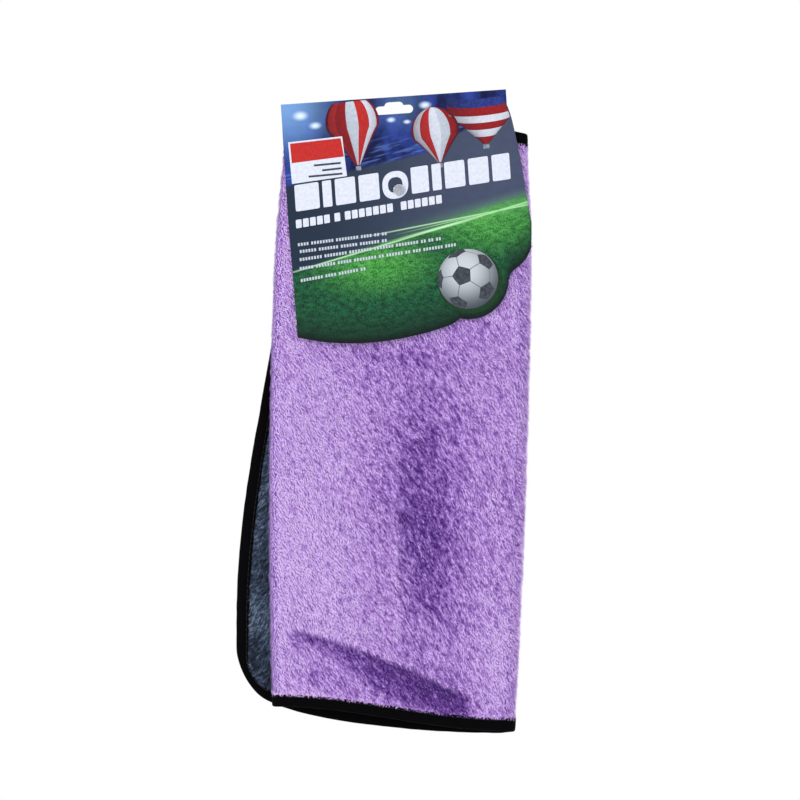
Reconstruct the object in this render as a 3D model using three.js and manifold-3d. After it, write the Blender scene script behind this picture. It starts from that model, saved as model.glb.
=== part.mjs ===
// A two-ply plush towel, folded in three and held by one plastic rivet in a folded header card.
// Millimetres, +Z up, the front faces -Y. The origin is the middle of the card's hang slot.

import * as THREE from 'three';
import { mergeVertices } from 'three/addons/utils/BufferGeometryUtils.js';
import Module from 'manifold-3d';

const wasm = await Module();
wasm.setup();

// ---------- driving sizes ----------

const frontPanel = 121.8;     // between the centres of the two folds, where they are furthest apart
const backPanel = 142.4;      // from the right fold to the free edge, at the widest
const tuckClearance = 3;      // the panel tucked in at the left stops this short of the right fold
const clothHeight = 296;      // along the folds, before the slant of the edges
const cornerRadius = 16;
const clothMiddle = 2.3;      // the bundle hangs with its middle this far right of the slot
const clothTop = -4;          // height that the upper edges are measured down from

const pitchFull = 4.6;        // one layer of the folded cloth and the air behind it
const squeezed = 0.61;        // share of that left at the top edge, where the card squeezes the pile
const squeezeLength = 60;     // the pile recovers over this distance below the top edge
const layerGap = 0.4;         // air between two layers of the folded cloth
const plyGap = 0.2;           // between the backs of the two plies

const tapeWidth = 6.5;        // how far the edge binding reaches over the cloth
const tapeWall = 0.35;
const tapeClearance = 0.2;    // between the binding and the flattened pile inside it
const threadWidth = 0.6;
const threadGap = 0.25;       // beside the seam thread, to the tape and to the pile
const pileRise = 0.8;         // the pile stands up again over this distance beyond the seam

const rivetX = 2.5;
const rivetZ = -41.5;
const stemRadius = 1.3;
const clothHoleRadius = 2.1;
const cardHoleRadius = 1.8;
const headRadius = 2.9;
const capRadius = 3.6;
const headThickness = 1.2;
const capThickness = 1.8;
const snapGap = 0.3;          // clearance between the rivet and whatever it touches

const cardTilt = 3.9;         // degrees the card hangs off level, the right side up
const boardThickness = 0.4;
const cardTop = 5.6;          // the crease, above the middle of the slot
const cardHalfWidth = 56.6;
const cardFlare = 8;          // the right side of the flaps widens by this much
const flareEnd = 62.5;        // distance below the slot where it is widest
const headerEnd = 5;          // the two layers lie together down to here
const kinkEnd = 9.5;          // and have opened round the towel's top edge here
const topReach = 8;           // the towel's top edge comes this near the slot when it swings
const cardClearance = 0.5;    // between a flap and the pile
const bendLine = 54;          // the flaps bend at this distance below the slot
const bendGap = 0.3;
const backFlapEnd = 104;
const backFlapRight = 56;     // its right side draws in to here, out of sight behind the towel

const slotWidth = 19;
const slotHeight = 6;
const humpWidth = 9.6;
const shoulderHeight = 4.2;

const ballDropX = 31.1;       // the printed ball, which the card's lower edge is cut around
const ballDropZ = -88.3;
const ballOutline = 20.2;

// ---------- helpers ----------

const lerp = (a, b, t) => a + (b - a) * t;
const clamp01 = (t) => Math.min(1, Math.max(0, t));
const smooth = (t) => clamp01(t) ** 2 * (3 - 2 * clamp01(t));

function geometryFrom(points, triangles) {
  const geometry = new THREE.BufferGeometry();
  geometry.setAttribute('position', new THREE.Float32BufferAttribute(points.flat(), 3));
  geometry.setIndex(triangles.flat());
  return geometry;
}

function signedVolume(points, triangles) {
  let sixVolumes = 0;
  for (const [a, b, c] of triangles) {
    const [p, q, r] = [points[a], points[b], points[c]];
    sixVolumes += p[0] * (q[1] * r[2] - q[2] * r[1]);
    sixVolumes += p[1] * (q[2] * r[0] - q[0] * r[2]);
    sixVolumes += p[2] * (q[0] * r[1] - q[1] * r[0]);
  }
  return sixVolumes / 6;
}

// A closed solid whose faces all look outwards, whichever way its rings were wound.
function closedSolid(points, triangles) {
  const inwards = signedVolume(points, triangles) < 0;
  return geometryFrom(points, inwards ? triangles.map(([a, b, c]) => [a, c, b]) : triangles);
}

function toManifold(geometry) {
  const bare = geometry.clone();
  bare.deleteAttribute('normal');
  bare.deleteAttribute('uv');
  const merged = mergeVertices(bare, 1e-4);
  return new wasm.Manifold(new wasm.Mesh({
    numProp: 3,
    vertProperties: new Float32Array(merged.attributes.position.array),
    triVerts: new Uint32Array(merged.index.array),
  }));
}

function fromManifold(manifold) {
  const mesh = manifold.getMesh();
  const geometry = new THREE.BufferGeometry();
  geometry.setAttribute('position', new THREE.BufferAttribute(mesh.vertProperties, 3));
  geometry.setIndex(new THREE.BufferAttribute(mesh.triVerts, 1));
  geometry.computeVertexNormals();
  return geometry;
}

// A round bar along Y through (x, z).
function barAlongY(radius, length, x, z) {
  const bar = new THREE.CylinderGeometry(radius, radius, length, 24);
  bar.translate(x, 0, z);
  return toManifold(bar);
}

// ---------- the folded cloth as a map ----------
// s runs across the cloth in millimetres: tucked panel, left fold, front panel, right fold, back panel.
// v runs up it from 0 to clothHeight. n is the distance from its middle, positive on the purple side.

const tuckedPanel = frontPanel - tuckClearance;
const leftFold = Math.PI * pitchFull / 2;
const rightFold = Math.PI * pitchFull;
const sLeft = tuckedPanel;
const sFront = sLeft + leftFold;
const sRight = sFront + frontPanel;
const sBack = sRight + rightFold;
const clothWidth = sBack + backPanel;

function pitch(v) {
  return pitchFull * lerp(squeezed, 1, smooth((clothHeight - v) / squeezeLength));
}

function halfLayer(v) {
  return (pitch(v) - layerGap) / 2;
}

// Half the thickness of all three layers.
function halfBundle(v) {
  return 1.5 * pitch(v) - layerGap / 2;
}

// The two fold lines and the free edges, seen from the front, against the height share h.
const leftmost = clothMiddle - frontPanel / 2;
const rightmost = clothMiddle + frontPanel / 2;
const leftFoldX = (h) => leftmost + 14 * (h - 0.35) ** 2;
const rightFoldX = (h) => rightmost - 9 * (1 - h) ** 2;
const tuckedEdgeX = (h) => rightFoldX(h) - tuckClearance;
const backEdgeX = (h) => rightmost - backPanel + 27 * smooth((h - 0.12) / 0.83);

// The slanting lower and upper edges of each panel, against the share f of its width.
const hem = clothTop - clothHeight;
const lowerEdge = {
  tucked: (f) => hem - 3 * f,
  front: (f) => hem - 12 * smooth(f),
  back: (f) => hem - 14 + 17 * f ** 2 + 11 * f ** 10,
};
const upperEdge = {
  tucked: (f) => clothTop - 13 + 4 * f,
  front: (f) => clothTop - 13 + 9.5 * f - 5 * f ** 8,
  back: (f) => clothTop - 10 + 5 * smooth(f / 0.15) - 7 * f,
};

function place(s, v, n) {
  const h = v / clothHeight;
  const p = pitch(v);
  if (s < sLeft) {
    const f = (sLeft - s) / tuckedPanel;
    const z = lerp(lowerEdge.tucked(f), upperEdge.tucked(f), h);
    return [lerp(leftFoldX(h), tuckedEdgeX(h), f), n, z];
  }
  if (s < sFront) {
    const turn = Math.PI * (sFront - s) / leftFold;
    const radius = p / 2 + n;
    const z = lerp(lowerEdge.front(0), upperEdge.front(0), h);
    return [leftFoldX(h) - radius * Math.sin(turn), -p / 2 - radius * Math.cos(turn), z];
  }
  if (s <= sRight) {
    const f = (s - sFront) / frontPanel;
    const z = lerp(lowerEdge.front(f), upperEdge.front(f), h);
    return [lerp(leftFoldX(h), rightFoldX(h), f), -p - n, z];
  }
  if (s < sBack) {
    const share = (s - sRight) / rightFold;
    const turn = Math.PI * share;
    const radius = p + n;
    const low = lerp(lowerEdge.front(1), lowerEdge.back(0), share);
    const high = lerp(upperEdge.front(1), upperEdge.back(0), share);
    const z = lerp(low, high, h);
    return [rightFoldX(h) + radius * Math.sin(turn), -radius * Math.cos(turn), z];
  }
  const f = (s - sBack) / backPanel;
  const z = lerp(lowerEdge.back(f), upperEdge.back(f), h);
  return [lerp(rightFoldX(h), backEdgeX(h), f), p + n, z];
}

// Stations: evenly spaced ones from a to b, both ends in.
function spaced(a, b, steps) {
  return Array.from({ length: steps + 1 }, (_, i) => lerp(a, b, i / steps));
}

const acrossStations = [
  ...spaced(cornerRadius, sLeft, 4).slice(0, -1),
  ...spaced(sLeft, sFront, 8).slice(0, -1),
  ...spaced(sFront, sRight, 6).slice(0, -1),
  ...spaced(sRight, sBack, 12).slice(0, -1),
  ...spaced(sBack, clothWidth - cornerRadius, 6),
];
const upStations = [
  ...spaced(cornerRadius, clothHeight - squeezeLength, 7).slice(0, -1),
  ...spaced(clothHeight - squeezeLength, clothHeight - cornerRadius, 5),
];
const cornerSteps = 5;

// The rim of the cloth drawn in by `inset`, once round: [s, v] pairs.
// The stations along the sides are those of the grid inside, so that rings and grid join up.
function ring(inset) {
  const radius = cornerRadius - inset;
  const right = clothWidth - cornerRadius;
  const top = clothHeight - cornerRadius;
  const arc = (s, v, from) => spaced(from, from + Math.PI / 2, cornerSteps).slice(1, -1)
    .map((a) => [s + radius * Math.cos(a), v + radius * Math.sin(a)]);
  return [
    ...acrossStations.map((s) => [s, inset]),
    ...arc(right, cornerRadius, -Math.PI / 2),
    ...upStations.map((v) => [clothWidth - inset, v]),
    ...arc(right, top, 0),
    ...acrossStations.toReversed().map((s) => [s, clothHeight - inset]),
    ...arc(cornerRadius, top, Math.PI / 2),
    ...upStations.toReversed().map((v) => [inset, v]),
    ...arc(cornerRadius, cornerRadius, Math.PI),
  ];
}

// Quads between two rows of point numbers. A closed pair of rows joins up at its end.
function band(rowA, rowB, closed = true) {
  const quads = closed ? rowA.length : rowA.length - 1;
  return Array.from({ length: quads }, (_, i) => {
    const next = (i + 1) % rowA.length;
    return [[rowA[i], rowA[next], rowB[next]], [rowA[i], rowB[next], rowB[i]]];
  }).flat();
}

// The inside of a ring: the grid of stations, a strip along each side and a fan in each corner.
function fill(ringRow, grid) {
  const columns = acrossStations.length;
  const rows = upStations.length;
  const arcs = cornerSteps - 1;
  const column = (i) => grid.map((row) => row[i]);
  const sides = [
    [grid[0], 0],
    [column(columns - 1), columns + arcs],
    [grid[rows - 1].toReversed(), columns + rows + 2 * arcs],
    [column(0).toReversed(), 2 * columns + rows + 3 * arcs],
  ];
  const triangles = [];
  for (const [inner, start] of sides) {
    const outer = inner.map((_, i) => ringRow[start + i]);
    triangles.push(...band(outer, inner, false));
    const corner = inner[inner.length - 1];
    for (let step = 0; step < cornerSteps; step += 1) {
      const from = start + inner.length - 1 + step;
      triangles.push([corner, ringRow[from], ringRow[(from + 1) % ringRow.length]]);
    }
  }
  for (let row = 0; row < rows - 1; row += 1) {
    triangles.push(...band(grid[row], grid[row + 1], false));
  }
  return triangles;
}

// One ply. `side` is +1 for the purple ply and -1 for the grey one.
function plyGeometry(side) {
  const points = [];
  const add = ([s, v], offset) => points.push(place(s, v, side * offset)) - 1;
  const flattened = (v) => halfLayer(v) - tapeWall - tapeClearance;
  const seamEnd = tapeWidth + 2 * threadGap + threadWidth;
  const rim = ring(tapeWall + tapeClearance);
  const stations = upStations.map((v) => acrossStations.map((s) => [s, v]));

  const edgeRow = rim.map((at) => add(at, flattened(at[1])));
  const seamRow = ring(seamEnd).map((at) => add(at, flattened(at[1])));
  const pileRow = ring(seamEnd + pileRise).map((at) => add(at, halfLayer(at[1])));
  const pileGrid = stations.map((row) => row.map((at) => add(at, halfLayer(at[1]))));
  const backRow = rim.map((at) => add(at, plyGap / 2));
  const backGrid = stations.map((row) => row.map((at) => add(at, plyGap / 2)));

  const triangles = [
    ...band(edgeRow, seamRow),
    ...band(seamRow, pileRow),
    ...fill(pileRow, pileGrid),
    ...band(backRow, edgeRow),
    ...fill(backRow, backGrid).map(([a, b, c]) => [a, c, b]),
  ];
  const solid = toManifold(closedSolid(points, triangles));
  const hole = barAlongY(clothHoleRadius, 8 * pitchFull, rivetX, rivetZ);
  return fromManifold(solid.subtract(hole));
}

// A strip that runs once round the rim. Its section is a list of [inset, offset from the surface] pairs;
// `offset` turns such a pair's second value and the height into a distance from the cloth's middle.
function rimStrip(section, offset) {
  const points = [];
  const rows = section.map(([inset, depth]) => ring(inset)
    .map(([s, v]) => points.push(place(s, v, offset(depth, v))) - 1));
  const triangles = rows.flatMap((row, i) => band(row, rows[(i + 1) % rows.length]));
  return closedSolid(points, triangles);
}

// The binding is a U over the rim. A share of 1 is its outer face, measured on the purple side.
function edgeBinding() {
  const nose = 0.45;
  const section = [
    [tapeWidth, { side: 1, in: 0 }],
    [nose, { side: 1, in: 0 }],
    [0, { side: nose, in: 0 }],
    [0, { side: -nose, in: 0 }],
    [nose, { side: -1, in: 0 }],
    [tapeWidth, { side: -1, in: 0 }],
    [tapeWidth, { side: -1, in: tapeWall }],
    [tapeWall, { side: -1, in: tapeWall }],
    [tapeWall, { side: 1, in: tapeWall }],
    [tapeWidth, { side: 1, in: tapeWall }],
  ];
  return rimStrip(section, (depth, v) => depth.side * (halfLayer(v) - depth.in));
}

function seamThread(side) {
  const near = tapeWidth + threadGap;
  const far = near + threadWidth;
  const section = [[near, 0], [far, 0], [far, tapeWall], [near, tapeWall]];
  return rimStrip(section, (depth, v) => side * (halfLayer(v) - depth));
}

// ---------- the header card ----------
// Drawn level, in [u, w] across and up from the slot's middle, then tilted as it hangs.

const acrossAndUp = new THREE.Matrix4().makeBasis(
  new THREE.Vector3(1, 0, 0), new THREE.Vector3(0, 0, 1), new THREE.Vector3(0, -1, 0));
const upAndBack = new THREE.Matrix4().makeBasis(
  new THREE.Vector3(0, 0, 1), new THREE.Vector3(0, 1, 0), new THREE.Vector3(-1, 0, 0));

function prism(shape, depth, basis, curveSegments = 12) {
  const geometry = new THREE.ExtrudeGeometry(shape, { depth, bevelEnabled: false, curveSegments });
  geometry.translate(0, 0, -depth / 2);
  geometry.applyMatrix4(basis);
  return toManifold(geometry);
}

// Distance of a flap's inner face from the card's middle plane, at w below the slot.
const headerGap = 0.15;
const flapFull = -topReach - squeezeLength;
const spacing = [
  [-headerEnd, headerGap],
  ...[-kinkEnd, rivetZ, flapFull].map((w) => [w, halfBundle(clothHeight + topReach + w) + cardClearance]),
];

function flapSpacing(w) {
  const last = spacing[spacing.length - 1];
  if (w >= spacing[0][0]) return spacing[0][1];
  if (w <= last[0]) return last[1];
  const i = spacing.findIndex(([below]) => w > below);
  const [fromW, fromY] = spacing[i - 1];
  const [toW, toY] = spacing[i];
  return lerp(fromY, toY, (w - fromW) / (toW - fromW));
}

// The edge-on shape of one flap between two heights, as points [w, y] along its inner face.
function flapLine(from, to) {
  const between = spacing.map(([w]) => w).filter((w) => w < from && w > to);
  return [from, ...between, to].map((w) => [w, flapSpacing(w)]);
}

function shapeOf(points) {
  return new THREE.Shape(points.map(([x, y]) => new THREE.Vector2(x, y)));
}

function rightEdge(w) {
  return cardHalfWidth + cardFlare * clamp01((-w - 2.4) / (flareEnd - 2.4)) ** 0.7;
}

// The plan of the card above the bend line: a narrow header, widening to the right below it.
function upperPlan() {
  const right = spaced(-2.4, -bendLine, 5).map((w) => [rightEdge(w), w]);
  return shapeOf([
    [-cardHalfWidth, -bendLine], [-cardHalfWidth, cardTop], [cardHalfWidth, cardTop], ...right,
  ].toReversed());
}

function slotPlan() {
  const low = -slotHeight / 2;
  const shoulder = low + shoulderHeight;
  const round = shoulderHeight / 2;
  const slot = new THREE.Shape();
  slot.moveTo(-slotWidth / 2 + round, low);
  slot.lineTo(slotWidth / 2 - round, low);
  slot.absarc(slotWidth / 2 - round, low + round, round, -Math.PI / 2, Math.PI / 2);
  slot.lineTo(humpWidth / 2, shoulder);
  slot.quadraticCurveTo(humpWidth / 2 - 0.5, slotHeight / 2, humpWidth / 4, slotHeight / 2);
  slot.lineTo(-humpWidth / 4, slotHeight / 2);
  slot.quadraticCurveTo(0.5 - humpWidth / 2, slotHeight / 2, -humpWidth / 2, shoulder);
  slot.lineTo(-slotWidth / 2 + round, shoulder);
  slot.absarc(-slotWidth / 2 + round, low + round, round, Math.PI / 2, Math.PI * 1.5);
  return slot;
}

// The crease, the slot and the upper part of both flaps, in one piece.
function cardHanger() {
  const outer = flapLine(cardTop, -bendLine).map(([w, y]) => [w, y + boardThickness]);
  const inner = flapLine(cardTop - boardThickness, -bendLine);
  const flip = ([w, y]) => [w, -y];
  const profile = [
    ...outer.toReversed().map(flip), ...outer,
    ...inner.toReversed(), ...inner.map(flip),
  ];
  const wide = 4 * cardHalfWidth;
  const level = prism(shapeOf(profile.toReversed()), wide, upAndBack)
    .intersect(prism(upperPlan(), wide, acrossAndUp))
    .subtract(prism(slotPlan(), wide, acrossAndUp))
    .subtract(levelRivetHole());
  return fromManifold(level);
}

function levelRivetHole() {
  const angle = THREE.MathUtils.degToRad(cardTilt);
  const u = rivetX * Math.cos(angle) + rivetZ * Math.sin(angle);
  const w = rivetZ * Math.cos(angle) - rivetX * Math.sin(angle);
  return barAlongY(cardHoleRadius, 8 * pitchFull, u, w);
}

// The lower flap in front, cut along a long curve and then around the printed ball.
function frontPlan() {
  const top = -bendLine - bendGap;
  const plan = new THREE.Shape();
  plan.moveTo(-cardHalfWidth, top);
  plan.lineTo(-cardHalfWidth + 0.8, -112);
  plan.quadraticCurveTo(-22, -122, 19, -111.2);
  plan.quadraticCurveTo(22.5, -110.2, 25.5, -107.7);
  plan.absarc(ballDropX, ballDropZ, ballOutline, -1.85, -0.15);
  plan.quadraticCurveTo(51.5, -87.2, 54.5, -85.2);
  plan.quadraticCurveTo(61.5, -81.5, 64.2, -73.5);
  plan.lineTo(rightEdge(-flareEnd), -flareEnd);
  plan.lineTo(rightEdge(top), top);
  return plan;
}

function backPlan() {
  const top = -bendLine - bendGap;
  const round = 3;
  const plan = new THREE.Shape();
  plan.moveTo(-cardHalfWidth, top);
  plan.lineTo(-cardHalfWidth, -backFlapEnd + round);
  plan.quadraticCurveTo(-cardHalfWidth, -backFlapEnd, -cardHalfWidth + round, -backFlapEnd);
  plan.lineTo(backFlapRight - round, -backFlapEnd);
  plan.quadraticCurveTo(backFlapRight, -backFlapEnd, backFlapRight, -backFlapEnd + round);
  plan.lineTo(rightEdge(top), top);
  return plan;
}

// A lower flap. `side` is -1 in front and +1 behind.
function lowerFlap(plan, side) {
  const line = flapLine(-bendLine - bendGap, -2 * backFlapEnd);
  const outer = line.map(([w, y]) => [w, side * (y + boardThickness)]);
  const inner = line.map(([w, y]) => [w, side * y]);
  const profile = [...outer, ...inner.toReversed()];
  const wide = 4 * cardHalfWidth;
  const sheet = prism(shapeOf(side > 0 ? profile : profile.toReversed()), wide, upAndBack);
  return fromManifold(sheet.intersect(prism(plan, wide, acrossAndUp, 16)));
}

// ---------- the rivet ----------

const flapAtRivet = flapSpacing(rivetZ) + boardThickness;
const headUnder = flapAtRivet + snapGap;
const stemEnd = flapAtRivet + snapGap + capThickness - 0.4;

// Turned shapes are drawn as [radius, distance along the axis]; the axis then points to +Y.
function turned(profile) {
  const points = profile.map(([r, y]) => new THREE.Vector2(r, y));
  return mergeVertices(new THREE.LatheGeometry(points, 24), 1e-4);
}

// A domed head, a stem and three ratchet ribs near its end.
function rivetStud() {
  const ribs = [0, 1, 2].flatMap((i) => {
    const y = stemEnd - 0.6 - 1.5 * i;
    return [[stemRadius - 0.25, y + 0.5], [stemRadius, y], [stemRadius - 0.25, y - 0.2]];
  });
  return turned([
    [0, -headUnder - headThickness],
    [headRadius * 0.5, -headUnder - headThickness * 0.92],
    [headRadius * 0.85, -headUnder - headThickness * 0.6],
    [headRadius, -headUnder - headThickness * 0.15],
    [headRadius * 0.97, -headUnder],
    [stemRadius - 0.25, -headUnder],
    ...ribs.toReversed(),
    [stemRadius * 0.55, stemEnd],
    [0, stemEnd],
  ]);
}

// A button with a blind bore that the stem's end snaps into.
function rivetCap() {
  const bore = stemRadius + 0.3;
  const near = headUnder;
  const far = near + capThickness + 0.9;
  return turned([
    [bore, near],
    [capRadius, near],
    [capRadius, near + 0.7],
    [capRadius * 0.8, near + 1.1],
    [bore + 0.9, near + 1.4],
    [bore + 0.7, far - 0.2],
    [bore * 0.7, far],
    [0, far],
    [0, stemEnd + snapGap],
    [bore, stemEnd + snapGap],
    [bore, near],
  ]);
}

// ---------- the scene ----------

function material(color, roughness) {
  return new THREE.MeshStandardMaterial({ color, roughness, metalness: 0 });
}

const materials = {
  purplePlush: material('#b286dc', 0.95),
  greyPlush: material('#4c5c70', 0.95),
  binding: material('#0c0b10', 0.75),
  thread: material('#15141a', 0.6),
  board: material('#1f6e38', 0.4),
  clearPlastic: material('#c9ced6', 0.15),
};

function part(name, geometry, look) {
  const mesh = new THREE.Mesh(geometry, materials[look]);
  mesh.name = name;
  return mesh;
}

const towel = new THREE.Group();
towel.add(
  part('purple_ply', plyGeometry(1), 'purplePlush'),
  part('grey_ply', plyGeometry(-1), 'greyPlush'),
  part('edge_binding', edgeBinding(), 'binding'),
  part('seam_thread_outer', seamThread(1), 'thread'),
  part('seam_thread_inner', seamThread(-1), 'thread'),
);

const card = new THREE.Group();
card.rotation.y = -THREE.MathUtils.degToRad(cardTilt);
card.add(
  part('card_hanger', cardHanger(), 'board'),
  part('card_front_flap', lowerFlap(frontPlan(), -1), 'board'),
  part('card_back_flap', lowerFlap(backPlan(), 1), 'board'),
);

const rivet = new THREE.Group();
rivet.position.set(rivetX, 0, rivetZ);
rivet.add(
  part('rivet_stud', rivetStud(), 'clearPlastic'),
  part('rivet_cap', rivetCap(), 'clearPlastic'),
);

const object = new THREE.Group();
object.name = 'quick_dry_towel';
object.add(towel, card, rivet);

export default object;
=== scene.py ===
"""A plush towel folded in three, riveted into a folded header card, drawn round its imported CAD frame.

Shapes are worked out in millimetres and turned into metres when a mesh is made.
s runs across the cloth: tucked panel, left fold, front panel, right fold, back panel.
v runs up it. n is the distance from the cloth's middle, positive on the purple side.
On the card, u runs across and w up from the middle of the hang slot.
"""
import math

import bpy
import numpy as np
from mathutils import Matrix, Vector


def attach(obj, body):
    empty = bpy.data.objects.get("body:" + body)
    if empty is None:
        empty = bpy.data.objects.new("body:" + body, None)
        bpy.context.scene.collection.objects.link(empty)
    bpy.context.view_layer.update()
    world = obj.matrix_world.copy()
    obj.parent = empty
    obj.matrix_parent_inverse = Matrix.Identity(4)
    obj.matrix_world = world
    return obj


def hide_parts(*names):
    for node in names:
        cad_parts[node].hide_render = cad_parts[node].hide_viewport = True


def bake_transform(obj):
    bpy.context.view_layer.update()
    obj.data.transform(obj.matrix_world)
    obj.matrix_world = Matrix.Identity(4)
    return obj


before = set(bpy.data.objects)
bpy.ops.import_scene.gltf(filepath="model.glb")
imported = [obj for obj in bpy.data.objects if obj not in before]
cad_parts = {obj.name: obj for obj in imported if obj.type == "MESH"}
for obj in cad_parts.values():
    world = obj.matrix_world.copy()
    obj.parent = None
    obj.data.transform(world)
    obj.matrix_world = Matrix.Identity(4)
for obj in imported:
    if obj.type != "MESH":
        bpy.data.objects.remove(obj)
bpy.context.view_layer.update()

MM = 0.001


# ---------- the sizes of the CAD model ----------

FRONT_PANEL = 121.8
BACK_PANEL = 142.4
TUCK_CLEARANCE = 3.0
CLOTH_HEIGHT = 296.0
CORNER_RADIUS = 16.0
CLOTH_MIDDLE = 2.3
CLOTH_TOP = -4.0
PITCH = 4.6
SQUEEZED = 0.61
SQUEEZE_LENGTH = 60.0
LAYER_GAP = 0.4
TAPE_WIDTH = 6.5
TAPE_WALL = 0.35

TUCKED_PANEL = FRONT_PANEL - TUCK_CLEARANCE
LEFT_FOLD = math.pi * PITCH / 2
RIGHT_FOLD = math.pi * PITCH
S_LEFT = TUCKED_PANEL
S_FRONT = S_LEFT + LEFT_FOLD
S_RIGHT = S_FRONT + FRONT_PANEL
S_BACK = S_RIGHT + RIGHT_FOLD
CLOTH_WIDTH = S_BACK + BACK_PANEL
LEFTMOST = CLOTH_MIDDLE - FRONT_PANEL / 2
RIGHTMOST = CLOTH_MIDDLE + FRONT_PANEL / 2

RIVET_X, RIVET_Z = 2.5, -41.5
HOLE_RADIUS = 2.1
CARD_TILT = math.radians(3.9)
BOARD = 0.4
CARD_TOP = 5.6
CARD_HALF = 56.6
FLARE = 8.0
FLARE_START = -2.4
FLARE_END = -62.5
HEADER_END = -5.0
KINK_END = -9.5
TOP_REACH = 8.0
CARD_CLEARANCE = 0.5
HEADER_GAP = 0.15
BEND_LINE = -54.0
BACK_FLAP_END = -104.0
BACK_FLAP_RIGHT = 56.0
BALL_U, BALL_W, BALL_OUTLINE = 31.1, -88.3, 20.2
CARD_HOLE = 1.8        # radius of the card's hole for the stem
BEND_HALF = 1.5        # each flap bends over this much to either side of its line

# the pile, and the marks of handling in the front panel
PILE_HEIGHT = 0.9
CROWN = 0.3            # how far a tuft may stand above the cloth's nominal face
TUFT_WIDTH = 0.19      # half the width of a tuft at its root
LAY = math.radians(-56)
FOLD_LINE = 1.75
CREASE_FROM = (-52.0, -260.0)
CREASE_SLOPE = 0.25
CREASE_DROOP = 0.0017

# painted light and shade on the front panel, of its folds, its crease and the card's shadow above: strength,
# middle (x, z), half-widths, turn
PAINTED_LIGHT_MARKS = (
    (-0.20, (19, -214), (14, 38), 4),
    (-0.13, (-7, -220), (17, 62), 0),
    (-0.14, (8, -158), (28, 42), 0),
    (-0.16, (-15, -124), (40, 7), -3),
    (-0.16, (16, -292), (26, 7), -10),
    (0.22, (-37, -274), (15, 1.8), -38),
    (-0.30, (-36, -285), (15, 6), -28),
    (0.08, (-47, -215), (18, 50), 0),
    (0.10, (52, -282), (12, 26), 0),
    (0.12, (FOLD_LINE - 1.2, -232), (1.3, 42), 1),
)


# ---------- small mathematics ----------

def lerp(a, b, t):
    return a + (b - a) * t


def smooth(t):
    t = np.clip(t, 0.0, 1.0)
    return t * t * (3 - 2 * t)


def unit(v):
    return v / np.maximum(np.linalg.norm(v, axis=-1, keepdims=True), 1e-9)


def noise_field(seed):
    """A function of (x, y, size): smooth random values from -1 to 1, the same on every run."""
    table = np.random.default_rng(seed).uniform(-1, 1, (256, 256))

    def at(x, y, size):
        gx, gy = np.asarray(x) / size, np.asarray(y) / size
        ix, iy = np.floor(gx).astype(int), np.floor(gy).astype(int)
        fx, fy = smooth(gx - ix), smooth(gy - iy)
        a, b, c, d = (table[(ix + i) % 256, (iy + j) % 256] for j in (0, 1) for i in (0, 1))
        return lerp(lerp(a, b, fx), lerp(c, d, fx), fy)

    return at


def blob(x, z, at, size, turn=0.0):
    """A soft round hill of height 1 at (x, z) = at, with half-widths size, turned anticlockwise."""
    c, s = math.cos(math.radians(turn)), math.sin(math.radians(turn))
    dx, dz = x - at[0], z - at[1]
    along, across = dx * c + dz * s, dz * c - dx * s
    return np.exp(-(along / size[0]) ** 2 - (across / size[1]) ** 2)


# ---------- meshes ----------

def mesh_object(name, points, faces, materials, slots=None, smooth_faces=True):
    """A mesh object in metres from points in millimetres. faces is a list of arrays with a row to a face."""
    mesh = bpy.data.meshes.new(name)
    points = np.asarray(points, np.float32) * MM
    sizes = np.concatenate([np.full(len(f), f.shape[1]) for f in faces])
    corners = np.concatenate([f.ravel() for f in faces])
    mesh.vertices.add(len(points))
    mesh.vertices.foreach_set("co", points.ravel())
    mesh.loops.add(len(corners))
    mesh.loops.foreach_set("vertex_index", corners.astype(np.int32))
    mesh.polygons.add(len(sizes))
    mesh.polygons.foreach_set("loop_start", (np.cumsum(sizes) - sizes).astype(np.int32))
    mesh.update(calc_edges=True)
    mesh.validate()
    for material in materials:
        mesh.materials.append(material)
    if slots is not None:
        mesh.polygons.foreach_set("material_index", np.asarray(slots, np.int32))
    mesh.polygons.foreach_set("use_smooth", np.full(len(mesh.polygons), smooth_faces))
    mesh.update()
    made = bpy.data.objects.new(name, mesh)
    bpy.context.scene.collection.objects.link(made)
    return made


def add_uv(made, name, positions):
    """A UV layer from one position for each vertex."""
    mesh = made.data
    corner = np.empty(len(mesh.loops), np.int32)
    mesh.loops.foreach_get("vertex_index", corner)
    layer = mesh.uv_layers.new(name=name)
    layer.data.foreach_set("uv", positions[corner].astype(np.float32).ravel())


def add_value(made, name, values):
    """A named number on each vertex, for the materials to read."""
    made.data.attributes.new(name, "FLOAT", "POINT").data.foreach_set("value", values.astype(np.float32))


def grid_faces(rows, columns, closed=False, flip=False, start=0):
    """The quads of a grid of points stored row by row. closed joins each row's ends."""
    steps = columns if closed else columns - 1
    row, column = np.meshgrid(np.arange(rows - 1), np.arange(steps), indexing="ij")
    row, column = row.ravel(), column.ravel()
    after = (column + 1) % columns
    quads = np.stack([row * columns + column, row * columns + after,
                      (row + 1) * columns + after, (row + 1) * columns + column], axis=1)
    return (quads[:, ::-1] if flip else quads) + start


# ---------- materials ----------

def srgb(red, green, blue):
    """A display colour, 0 to 255, as the linear values that shaders take."""
    out = []
    for value in (red, green, blue):
        share = value / 255
        out.append(share / 12.92 if share <= 0.04045 else ((share + 0.055) / 1.055) ** 2.4)
    return (*out, 1.0)


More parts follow.
